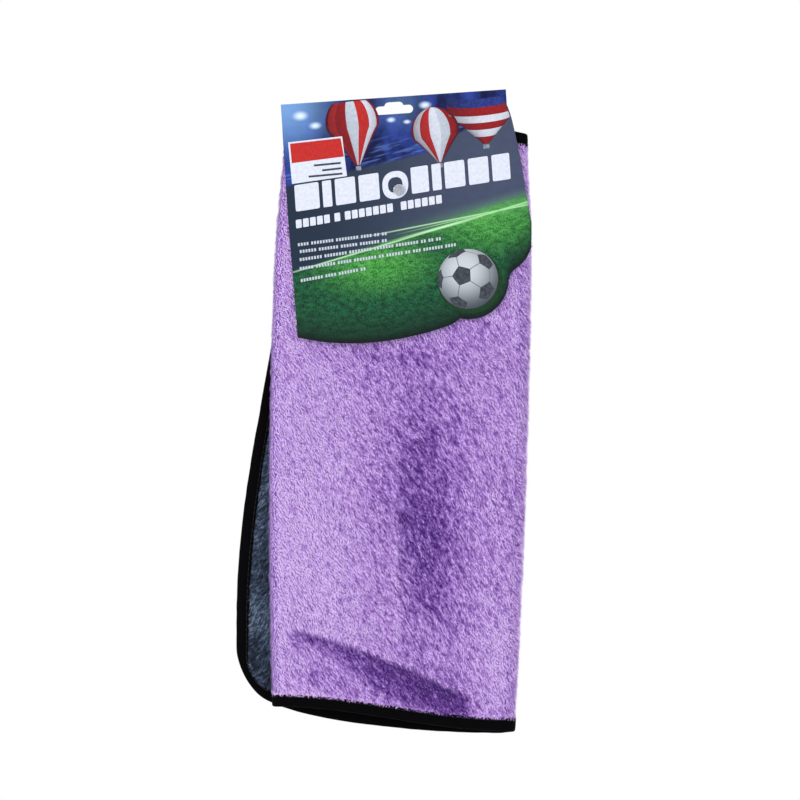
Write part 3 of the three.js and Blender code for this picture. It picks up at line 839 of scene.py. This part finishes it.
def panel_mesh(name, side, lower_edge, lower_right, draw_in, materials):
    """One half of the folded card, from the crease down: printed face, inside and cut edges.

    lower_right is how far right the panel reaches at its foot, or None to keep the flare of the upper part.
    """
    columns, below = 131, 46
    share = np.linspace(0, 1, columns)[None]
    fixed = np.concatenate([CARD_TOP - (BOARD + HEADER_GAP) * (1 - np.cos(np.linspace(0, math.pi / 2, 6))),
                            np.arange(4.5, -16, -0.5), np.arange(-16.5, -60, -1.5)])
    low = lower_edge(lerp(-CARD_HALF, lower_right or CARD_HALF + FLARE, share))
    t = np.linspace(0, 1, below)[1:, None]
    w = np.vstack([np.repeat(fixed[:, None], columns, axis=1), lerp(fixed[-1], low, t)])
    left = -CARD_HALF + draw_in * np.clip((BEND_LINE - w) / 58, 0, 1)
    right = right_edge(w)
    if lower_right:
        narrowing = np.clip((BEND_LINE - w) / (BEND_LINE - BACK_FLAP_END), 0, 1)
        right = lerp(np.minimum(right, right_edge(BEND_LINE)), lower_right, narrowing)
    u = lerp(left, right, share)
    rows = len(w)
    face = card_point(u, w, side, 0.0).reshape(-1, 3)
    inside = card_point(u, np.minimum(w, CARD_TOP - BOARD), side, -BOARD).reshape(-1, 3)
    count = rows * columns
    outer = grid_faces(rows, columns, flip=side < 0)
    inner = grid_faces(rows, columns, flip=side > 0, start=count)
    ring = np.concatenate([np.arange(columns - 1), np.arange(rows - 1) * columns + columns - 1,
                           np.arange(count - 1, count - columns, -1),
                           np.arange(rows - 1, 0, -1) * columns])
    following = np.roll(ring, -1)
    rim = np.stack([ring, ring + count, following + count, following], axis=1)
    if side > 0:
        rim = rim[:, ::-1]
    slots = np.concatenate([np.zeros(len(outer)), np.full(len(inner), 2), np.ones(len(rim))])
    made = mesh_object(name, np.vstack([face, inside]), [outer, inner, rim], materials, slots)
    height = (w - np.repeat(w[-1:], rows, axis=0)).ravel()
    add_uv(made, "print", np.tile(np.stack([u.ravel(), w.ravel()], axis=1) / 100, (2, 1)))
    add_uv(made, "fade", np.tile(np.stack([height, height * 0], axis=1) / 100, (2, 1)))
    return made


def slot_outline():
    """The hang slot: a bar with round ends and a low hump on its upper side."""
    half, low, shoulder, round_end = 9.5, -3.0, 1.2, 2.1
    right = [(half - round_end + round_end * math.cos(a), low + round_end + round_end * math.sin(a))
             for a in np.linspace(-math.pi / 2, math.pi / 2, 12)]
    hump = quadratic((4.8, shoulder), (4.3, 3.0), (2.4, 3.0), 6).tolist() + [[2.4, 3.0]]
    half_line = right + hump
    return half_line + [(-u, w) for u, w in reversed(half_line)]


def cut_through(made, outline):
    """Cut an outline of (u, w) right through the card."""
    u, w = np.array(outline).T
    depth = 20
    count = len(u)
    here = np.arange(count)
    after = (here + 1) % count
    sides = np.stack([here, here + count, after + count, after], axis=1)
    points = np.vstack([tilted(u, u * 0 - depth, w), tilted(u, u * 0 + depth, w)])
    cutter = mesh_object("cutter", points, [here[None], here[None, ::-1] + count, sides],
                         made.data.materials, np.ones(count + 2), False)
    modifier = made.modifiers.new("cut", "BOOLEAN")
    modifier.operation = "DIFFERENCE"
    modifier.solver = "EXACT"
    modifier.object = cutter
    bpy.context.view_layer.update()
    evaluated = made.evaluated_get(bpy.context.evaluated_depsgraph_get())
    mesh = bpy.data.meshes.new_from_object(evaluated)
    made.modifiers.clear()
    made.data = mesh
    bpy.data.objects.remove(cutter)


def circle(centre, radius, steps=40):
    angle = 2 * math.pi * np.arange(steps) / steps
    return [(centre[0] + radius * math.cos(a), centre[1] + radius * math.sin(a)) for a in angle]


# ---------- the card's print ----------

INK_LIFT, INK_STEP = 0.035, 0.03  # height of the lowest ink over the card, and of each layer over the last
PRINT_MARGIN = 0.6                # the art stops this far short of the card's right edge


class Print:
    """Flat printed shapes, gathered into one thin mesh just above the card's face."""

    def __init__(self):
        self.points, self.faces, self.inks, self.uv, self.gloom = [], [], [], [], []
        self.count = 0

    def patch(self, grid, ink, layer, closed=False, gloom=0.0):
        """One inked patch over a grid of (u, w). gloom darkens the ink, from 0 to 1."""
        rows, columns = grid.shape[:2]
        flat = grid.reshape(-1, 2)
        flat = np.stack([np.minimum(flat[:, 0], right_edge(flat[:, 1]) - PRINT_MARGIN),
                         np.minimum(flat[:, 1], CARD_TOP - 0.7)], axis=1)
        self.points.append(card_point(flat[:, 0], flat[:, 1], -1, INK_LIFT + INK_STEP * layer))
        self.uv.append(flat / 100)
        self.gloom.append(np.broadcast_to(gloom, (rows, columns)).ravel())
        self.faces.append(grid_faces(rows, columns, closed, start=self.count))
        self.inks.append(np.full(len(self.faces[-1]), INKS.index(ink)))
        self.count += len(flat)

    def block(self, centre, half_width, half_height, ink, layer, slope=0.0, corner=0.25, hole=0.0):
        """A filled shape: a rounded rectangle, or an ellipse when corner is 1. A hole makes it a ring."""
        a = np.linspace(0, 2 * math.pi, 48, endpoint=False)
        c, s = np.cos(a), np.sin(a)
        x = half_width * np.sign(c) * np.abs(c) ** corner
        y = half_height * np.sign(s) * np.abs(s) ** corner + slope * x
        share = np.linspace(1.0, max(hole, 0.002), max(3, int(max(half_width, half_height) / 1.5)))[:, None]
        self.patch(np.stack([centre[0] + x * share, centre[1] + y * share], axis=-1), ink, layer, True)

    def stroke(self, a, b, height, ink, layer):
        """A straight bar from a to b."""
        steps = max(2, int(math.dist(a, b) / 2) + 1)
        t = np.linspace(0, 1, steps)[None, :, None]
        line = lerp(np.array(a), np.array(b), t)
        self.patch(np.concatenate([line + [0, height / 2], line - [0, height / 2]]), ink, layer)

    def quad(self, corners, ink, layer):
        """A four-sided patch; corners run left top, right top, right bottom, left bottom."""
        a, b, c, d = (np.array(p, float) for p in corners)
        x, y = np.meshgrid(np.linspace(0, 1, 16), np.linspace(0, 1, 14))
        x, y = x[..., None], y[..., None]
        self.patch(lerp(lerp(a, b, x), lerp(d, c, x), y), ink, layer)

    def finish(self, name, materials):
        faces = np.vstack(self.faces)[:, ::-1]
        made = mesh_object(name, np.vstack(self.points), [faces], materials, np.concatenate(self.inks))
        add_uv(made, "print", np.vstack(self.uv))
        add_value(made, "gloom", np.concatenate(self.gloom))
        return made


# each ink's two colours, which its mottle runs between
INK_COLOURS = {
    "white": ((192, 197, 211), (204, 208, 221)),
    "red": ((130, 20, 24), (144, 26, 28)),
    "deep_red": ((92, 10, 16), (118, 18, 24)),
    "bright_red": ((166, 34, 34), (178, 42, 38)),
    "grey": ((92, 98, 116), (132, 138, 156)),
    "blue": ((28, 40, 104), (44, 58, 130)),
    "pale": ((168, 178, 192), (182, 190, 202)),
    "charcoal": ((44, 48, 56), (66, 70, 80)),
    "seam": ((84, 90, 98), (108, 114, 122)),
    "shadow": ((16, 44, 24), (22, 56, 30)),
}
INKS = [*INK_COLOURS, "ball"]


def round_shade(lon, depth):
    """How dark a balloon is: darker to its sides and towards its foot, with a soft light up at the left."""
    return np.clip(0.75 * np.abs(np.sin(lon + 0.25)) ** 2.2 + 0.35 * depth[:, None] ** 1.5, 0, 1)


def balloon(art, centre, tip, radius, inks, across_bands, layer):
    """A hot-air balloon with plain stripes, up and down or across, and a small basket."""
    centre, tip = np.array(centre), np.array(tip)
    height = math.dist(tip, centre)
    down = (tip - centre) / height
    across = np.array([down[1], -down[0]])
    angle = np.linspace(0.0, 1.85, 46)
    t = np.linspace(0, 1, 22)[1:]
    wide, deep = radius * np.sin(angle), -radius * np.cos(angle)
    wide = np.concatenate([wide, lerp(wide[-1], 0.09 * radius, t ** 0.9)])
    deep = np.concatenate([deep, lerp(deep[-1], height, t)])
    shown = centre[1] + deep * down[1] < CARD_TOP - 0.8
    wide, deep = wide[shown, None], deep[shown, None]
    share = np.linspace(0, 1, len(deep))
    edges = np.linspace(0, 1, len(inks) + 1)
    stops = np.linspace(0, len(deep) - 1, len(inks) + 1).astype(int)
    for ink, low, high, first, last in zip(inks, edges[:-1], edges[1:], stops[:-1], stops[1:]):
        if across_bands:
            rows = slice(first, last + 1)
            around = np.linspace(-math.pi / 2, math.pi / 2, 15)
            sag = 0.16 * wide[rows] * np.cos(around)
        else:
            rows = slice(None)
            around = math.pi * (np.linspace(low, high, 6) - 0.5)
            sag = 0 * around
        below, beside = deep[rows] + sag, wide[rows] * np.sin(around)
        grid = centre + down * below[..., None] + across * beside[..., None]
        art.patch(grid, ink, layer, gloom=round_shade(around, share[rows]))
    art.block(tip + down * 1.6, 0.07 * radius + 0.4, 1.1, "grey", layer)


def rotation(axis, angle):
    """The matrix that turns by an angle about a unit axis."""
    cross = np.array([[0, -axis[2], axis[1]], [axis[2], 0, -axis[0]], [-axis[1], axis[0], 0]])
    return np.eye(3) + math.sin(angle) * cross + (1 - math.cos(angle)) * cross @ cross


def football(art):
    """A plain football: twelve dark patches and thin seams on a shaded white disc."""
    radius = 15.0
    golden = (1 + math.sqrt(5)) / 2
    corners = []
    for a in (-1, 1):
        for b in (-golden, golden):
            corners += [(0, a, b), (a, b, 0), (b, 0, a)]
    corners = unit(np.array(corners, float))
    # spin the ball about one patch, then swing that patch round to face up and left of the viewer
    first = corners[0]
    facing = unit(np.array([-0.20, 0.13, 0.97]))
    corners = corners @ rotation(first, math.radians(31)).T
    corners = corners @ rotation(unit(np.cross(first, facing)), math.acos(float(first @ facing))).T
    middle = np.array([BALL_U, BALL_W])
    art.block(middle + [1.0, -1.6], radius + 1.2, radius + 0.6, "shadow", 0, corner=1.0)
    art.block(middle, radius, radius, "ball", 1, corner=1.0)

    for c in corners:
        near = [n for n in corners if 0.2 < n @ c < 0.99]
        if c[2] > -0.05:
            side = unit(np.cross(c, [0.3, 0.5, 0.8]))
            other = np.cross(c, side)
            near.sort(key=lambda n: math.atan2(n @ other, n @ side))
            rim = [unit(2 * c + n) for n in near]
            outline = [unit(lerp(p, q, t)) for p, q in zip(rim, rim[1:] + rim[:1])
                       for t in np.linspace(0, 1, 5)[:-1]]
            share = np.linspace(1, 0.01, 5)[:, None, None]
            patch = unit(lerp(c, np.array(outline)[None], share))
            # what lies round the back is drawn on the disc's rim
            seen = np.where(patch[..., 2:] < 0.02, unit(patch[..., :2]), patch[..., :2])
            # patches listed clockwise would face the card, so turn them over
            spin = np.cross(outline[0], outline[4]) @ c
            art.patch(middle + radius * (seen if spin > 0 else seen[:, ::-1]), "charcoal", 2, True)
        for n in near:
            start, end = unit(2 * c + n), unit(c + 2 * n)
            line = unit(lerp(start, end, np.linspace(0, 1, 7)[:, None]))
            if tuple(c) < tuple(n) and line[:, 2].min() > 0.05:
                beside = unit(np.cross(line, end - start)) * 0.013
                seam = np.stack([line - beside, line + beside])[..., :2]
                art.patch(middle + radius * seam, "seam", 2)


def front_print(materials):
    """The art on the front: balloons, a blank badge, rows of blocks for words, and a football."""
    art = Print()
    balloon(art, (-21.4, -5.6), (-19.9, -27.7), 13.5,
            ["red", "white", "bright_red", "pale", "red", "bright_red", "deep_red"], False, 0)
    balloon(art, (19.7, -12.9), (21.1, -29.0), 12.0,
            ["deep_red", "red", "pale", "white", "bright_red", "white", "red"], False, 1)
    balloon(art, (44.0, -1.5), (44.7, -21.1), 17.5,
            ["blue", "red", "white", "red", "white", "red"], True, 0)

    art.quad([(-54.1, -13.9), (-26.9, -12.7), (-25.8, -32.8), (-53.5, -34.9)], "white", 2)
    art.quad([(-53.2, -14.7), (-27.7, -13.6), (-26.7, -22.9), (-52.9, -24.5)], "bright_red", 3)
    for line, (left, right) in enumerate(((-42, -28.5), (-38, -28.2), (-45, -28))):
        level = -26.0 - 2.7 * line
        art.stroke((left, level - 0.4), (right, level), 1.0, "charcoal", 3)

    # the title, with a ring round the rivet
    slope, at = 0.084, -52.5
    for index, width in enumerate((12.2, 4.6, 10.2, 10.2, 12.6, 8.8, 4.6, 10.2, 10.2, 9.0)):
        middle = at + width / 2
        level = -42.3 + slope * (middle + 52.5)
        if index == 4:
            art.block((middle, level - 0.8), width / 2 + 0.2, 6.9, "white", 2, slope, 0.85, hole=0.56)
        else:
            art.block((middle, level), width / 2, 6.6, "white", 2, slope, 0.12)
        at += width + 1.75

    # the line under it
    at = -53.0
    for letters in (5, 1, 7, 0, 6):
        for _ in range(letters):
            middle = at + 1.55
            art.block((middle, -55.2 + 0.105 * (middle + 53)), 1.45, 2.1, "white", 2, 0.1, 0.2)
            at += 3.55
        at += 1.7

    # small print: each line's left end and right end
    lines = (((-52.6, -66.6), (-8.9, -64.0)), ((-51.9, -70.1), (-9.1, -67.5)),
             ((-52.2, -74.1), (18.4, -68.4)), ((-52.5, -78.6), (25.7, -71.9)),
             ((-52.4, -84.6), (-20.0, -80.8)))
    rng = np.random.default_rng(9)
    for (left, low), (right, high) in lines:
        rise = (high - low) / (right - left)
        at = left
        while at < right:
            for _ in range(rng.integers(2, 9)):
                if at < right:
                    level = low + 1.1 + rise * (at - left)
                    art.stroke((at, level), (at + 0.95, level + 0.95 * rise), 1.5, "pale", 2)
                at += 1.45
            at += 0.9
    football(art)
    return art.finish("card_print_front", materials)


FILM = {"Roughness": 0.45, "Coat_Weight": 0.04, "Coat_Roughness": 0.2, "Specular_IOR_Level": 0.12}


def ink_material(name, colour, other):
    """Printing ink: a faint mottle under a thin film."""
    m = Nodes(f"ink_{name}")
    mottle = m.noise(m.coordinates("UV"), 60, 2, 0.6)
    ink = m.mix(m.ramp(mottle, 0.3, 0.7), colour, other)
    m.colour(m.mix(m.times(m.attribute("gloom"), 0.75), ink, srgb(20, 16, 30)))
    m.set(**FILM)
    return m.material


def ball_material():
    """The football's white, shaded as a ball lit from above."""
    m = Nodes("ink_ball")
    where = m.node("ShaderNodeUVMap", uv_map="print").outputs[0]
    lit = m.node("ShaderNodeVectorMath", {0: where, 1: ((BALL_U - 2) / 100, (BALL_W + 5) / 100, 0)},
                 operation="DISTANCE").outputs["Value"]
    m.colour(m.mix(m.ramp(lit, 0.03, 0.21), srgb(180, 185, 192), srgb(60, 68, 78)))
    m.set(**FILM)
    return m.material


def card_print_material():
    """The picture behind the art: a lit evening sky, a slate band, and grass with streaks of light."""
    m = Nodes("card_print")
    where = m.node("ShaderNodeUVMap", uv_map="print").outputs[0]
    split = m.node("ShaderNodeSeparateXYZ", {0: where})
    u, w = split.outputs[0], split.outputs[1]

    def above(slope, offset):
        """Height over a slanting line, in the print's units of 100 mm."""
        return m.math("SUBTRACT", w, m.math("MULTIPLY_ADD", u, slope, offset))

    def spot(at, radius, stretch=1.0):
        """1 at a point in millimetres, falling to 0 at the radius."""
        offset = m.node("ShaderNodeVectorMath", {0: where, 1: (at[0] / 100, at[1] / 100, 0)},
                        operation="SUBTRACT").outputs[0]
        away = m.node("ShaderNodeVectorMath", {0: m.mapped(offset, (1, stretch, 1))},
                      operation="LENGTH").outputs["Value"]
        return m.ramp(away, radius / 100, 0.0)

    def stretched(scale, turn, size, detail):
        return m.noise(m.mapped(where, scale, (0, 0, turn)), size, detail, 0.6)

    # sky: haze, a glow from the left, rows of stands low down, and lamps
    sky = m.mix(m.ramp(stretched((1.0, 0.7, 1), 0.5, 7, 3), 0.35, 0.7), srgb(7, 13, 56), srgb(36, 58, 134))
    glow = m.math("MAXIMUM", spot((-54, 4), 31), m.times(spot((3, 2), 18), 0.3), clamp=True)
    sky = m.mix(m.times(glow, 0.85), sky, srgb(112, 154, 210))
    rows = m.node("ShaderNodeCombineXYZ", {0: m.times(u, 0.12), 1: above(0.17, 0.0)}).outputs[0]
    stands = m.ramp(m.noise(rows, 60, 2, 0.5), 0.50, 0.66)
    low_sky = m.ramp(above(0.17, -0.262), 0.17, 0.06)
    sky = m.mix(m.times(m.times(low_sky, stands), 0.45), sky, srgb(86, 116, 190))
    for at, size in (((-40, -6.3), 4), ((-1.9, -5.9), 3), ((15.6, 0.4), 4), ((-47.2, -0.8), 5),
                     ((6, -7.5), 2.5)):
        sky = m.mix(spot(at, size, 1.6), sky, srgb(206, 224, 250))

    # slate band, darker to the left, its upper edge steeper on the right
    slate = m.mix(m.ramp(u, -0.55, 0.55), srgb(28, 42, 58), srgb(66, 74, 98))
    slate = m.mix(m.times(stretched((1, 1, 1), 0, 22, 3), 0.35), slate, srgb(22, 34, 54))
    rise = m.times(m.math("MAXIMUM", m.math("SUBTRACT", u, 0.17), 0.0), 0.385)
    upper = m.mix(m.ramp(m.math("SUBTRACT", above(0.17, -0.262), rise), -0.012, 0.012), slate, sky)

    # grass: short blades, brighter in the middle
    clumps = m.times(stretched((1.6, 1.0, 1), 0.2, 110, 3), 0.6)
    level = m.ramp(m.math("MULTIPLY_ADD", stretched((1, 1.4, 1), 0, 30, 2), 0.4, clumps), 0.36, 0.64)
    dark_grass = m.mix(level, srgb(4, 34, 24), srgb(28, 92, 58))
    bright_grass = m.mix(level, srgb(18, 90, 28), srgb(86, 168, 78))
    lit = m.math("MAXIMUM", spot((-14, -78), 44, 2.1), m.times(spot((44, -60), 46, 2.0), 0.9), clamp=True)
    grass = m.mix(m.times(lit, 0.95), dark_grass, bright_grass)
    picture = m.mix(m.ramp(above(0.262, -0.645), 0.02, -0.025), upper, grass)

    # streaks of light above and across the grass: slope, offset, width, start, end, strength
    light = 0.0
    for slope, offset, width, start, end, strength in (
            (0.228, -0.663, 0.007, -0.75, 0.70, 0.7), (0.127, -0.614, 0.006, -0.30, 0.70, 0.65),
            (0.165, -0.632, 0.004, -0.10, 0.70, 0.5), (0.209, -0.658, 0.011, -0.15, 0.34, 0.9)):
        near = m.ramp(m.math("ABSOLUTE", above(slope, offset)), width, 0.0)
        span = m.times(m.ramp(u, start, start + 0.35), m.ramp(u, end + 0.12, end - 0.12))
        light = m.math("MAXIMUM", light, m.times(m.times(near, span), strength), clamp=True)
    picture = m.mix(light, picture, srgb(188, 232, 186))
    glare = m.times(m.ramp(m.math("ABSOLUTE", above(0.2, -0.64)), 0.08, 0.0), 0.22)
    picture = m.mix(m.times(glare, m.ramp(u, -0.2, 0.6)), picture, srgb(120, 200, 110))

    # the print darkens towards the cut edge below
    height = m.node("ShaderNodeUVMap", uv_map="fade").outputs[0]
    fade = m.node("ShaderNodeSeparateXYZ", {0: height}).outputs[0]
    picture = m.mix(m.times(m.ramp(fade, 0.20, 0.0), 0.74), picture, srgb(8, 28, 24))
    picture = m.mix(m.times(m.ramp(fade, 0.045, 0.006), 0.75), picture, srgb(4, 12, 14))
    m.colour(picture)
    m.bump(m.noise(m.coordinates(), 55, 2, 0.5), 0.12, 0.002)
    m.set(**FILM)
    return m.material


def turned_mesh(name, profile, material):
    """A round piece from a profile of (radius, distance along +Y), about the rivet's axis."""
    steps = 48
    angle = 2 * math.pi * np.arange(steps) / steps
    rows = [np.stack([RIVET_X + r * np.cos(angle), np.full(steps, y), RIVET_Z + r * np.sin(angle)], axis=1)
            for r, y in profile]
    made = mesh_object(name, np.vstack(rows), [grid_faces(len(profile), steps, closed=True)], [material])
    made.data.set_sharp_from_angle(angle=math.radians(50))
    return made


def dome(radius, from_y, to_y, steps=8):
    """A rounded end: from the rim at from_y in to the axis at to_y."""
    a = np.linspace(0, math.pi / 2, steps)
    return [(max(radius * math.cos(t), 0.01), lerp(from_y, to_y, math.sin(t))) for t in a]


def stud_profile(head_under, stem_end):
    """Domed head, and a stem with three snap ribs."""
    head = dome(2.9, -head_under - 0.35, -head_under - 1.2)[::-1]
    rim = [(2.88, -head_under - 0.12), (2.75, -head_under), (1.05, -head_under)]
    ribs = []
    for i in (2, 1, 0):
        y = stem_end - 0.6 - 1.5 * i
        ribs += [(1.05, y - 0.5), (1.05, y - 0.2), (1.3, y), (1.05, y + 0.5)]
    return head + rim + ribs + dome(1.0, stem_end - 0.35, stem_end)


def cap_profile(near, stem_end):
    """A domed button, bored to take the stem."""
    bore = 1.6
    return ([(0.01, stem_end + 0.3), (bore, stem_end + 0.3), (bore, near), (3.45, near), (3.6, near + 0.15),
             (3.6, near + 0.6), (3.45, near + 0.85), (2.9, near + 1.1), (2.5, near + 1.4)]
            + dome(2.35, near + 1.7, near + 2.7))


card_materials = [card_print_material()]
for name, colour, other in (("card_cut_edge", srgb(214, 212, 206), srgb(236, 235, 230)),
                            ("card_inside", srgb(150, 152, 156), srgb(182, 184, 186))):
    card_materials.append(mottled(name, colour, other, (900, 3, 0.7), (0.15, 0.0002),
                                  Roughness=0.8, Specular_IOR_Level=0.25))
inks = [ink_material(name, srgb(*colour), srgb(*other)) for name, (colour, other) in INK_COLOURS.items()]
inks.append(ball_material())

card_front = panel_mesh("header_card_front", -1, front_lower_edge, None, 0.8, card_materials)
card_rear = panel_mesh("header_card_rear", 1, back_lower_edge, BACK_FLAP_RIGHT, 0.0, card_materials)
rivet_u = RIVET_X * math.cos(CARD_TILT) + RIVET_Z * math.sin(CARD_TILT)
rivet_w = RIVET_Z * math.cos(CARD_TILT) - RIVET_X * math.sin(CARD_TILT)
for panel in (card_front, card_rear):
    cut_through(panel, slot_outline())
    cut_through(panel, circle((rivet_u, rivet_w), CARD_HOLE))
    panel.data.set_sharp_from_angle(angle=math.radians(40))
art = front_print(inks)

flap_at_rivet = float(flap_spacing(RIVET_Z)) + BOARD
head_under = flap_at_rivet + 0.3
stem_end = head_under + 1.4
plastic = mottled("clear_plastic", srgb(196, 202, 216), srgb(226, 230, 238), (600, 2, 0.5), (0.1, 0.0003),
                  Roughness=0.16, IOR=1.46, Transmission_Weight=0.72, Coat_Weight=0.3, Coat_Roughness=0.05)
stud = turned_mesh("rivet_stud_visual", stud_profile(head_under, stem_end), plastic)
cap = turned_mesh("rivet_cap_visual", cap_profile(head_under, stem_end), plastic)


def bend_point(w, side):
    """A point of the flap's face on the slanting line w, in metres."""
    return tuple(card_point(0.0, w, side, 0.0) * MM)


for piece, flap, side in ((card_front, "front_flap", -1), (art, "front_flap", -1),
                          (card_rear, "back_flap", 1)):
    bend_point(BEND_LINE + BEND_HALF, side)
    bend_point(BEND_LINE - BEND_HALF, side)
    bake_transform(piece)
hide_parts("card_hanger", "card_front_flap")
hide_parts("card_back_flap")
for piece, body, node in ((stud, "stud", "rivet_stud"), (cap, "root", "rivet_cap")):
    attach(piece, body)
    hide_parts(node)

# ---------- camera, light and floor ----------

def area_light(name, at, size, power):
    """A round lamp aimed at the middle of the towel."""
    data = bpy.data.lights.new(name, "AREA")
    data.shape = "DISK"
    data.size = size
    data.energy = power
    made = bpy.data.objects.new(name, data)
    made.location = at
    made.rotation_euler = (Vector((0, 0, -0.15)) - Vector(at)).to_track_quat("-Z", "Y").to_euler()
    bpy.context.scene.collection.objects.link(made)


VIEW_MIDDLE = (0.003, -0.1465)
VIEW_WIDTH = 0.400
DISTANCE = 1.9
camera_data = bpy.data.cameras.new("camera")
camera_data.sensor_width = 36
camera_data.lens = 36 * DISTANCE / VIEW_WIDTH
camera = bpy.data.objects.new("camera", camera_data)
camera.location = (VIEW_MIDDLE[0], -DISTANCE - 0.007, VIEW_MIDDLE[1])
camera.rotation_euler = (math.pi / 2, 0, 0)
bpy.context.scene.collection.objects.link(camera)
bpy.context.scene.camera = camera

area_light("key", (-1.3, -1.2, 0.75), 0.5, 19)
area_light("fill", (1.4, -1.6, 0.1), 1.2, 3)
area_light("rear", (0.3, 1.6, 0.9), 1.2, 8)

world = bpy.data.worlds.new("studio")
bpy.context.scene.world = world
world.use_nodes = True
background = world.node_tree.nodes["Background"]
background.inputs["Color"].default_value = (1, 1, 1, 1)
background.inputs["Strength"].default_value = 1.0
bpy.context.scene.view_settings.view_transform = "Standard"

floor_paint = Nodes("floor")
floor_paint.colour(floor_paint.mix(floor_paint.noise(floor_paint.coordinates(), 3, 1),
                                   (0.90, 0.90, 0.90, 1), (0.93, 0.93, 0.93, 1)))
floor_paint.set(Roughness=0.9)
half, level = 1250.0, -560.0
corners = [(-half, -half, level), (half, -half, level), (half, half, level), (-half, half, level)]
floor = mesh_object("floor", corners, [np.arange(4)[None]], [floor_paint.material])
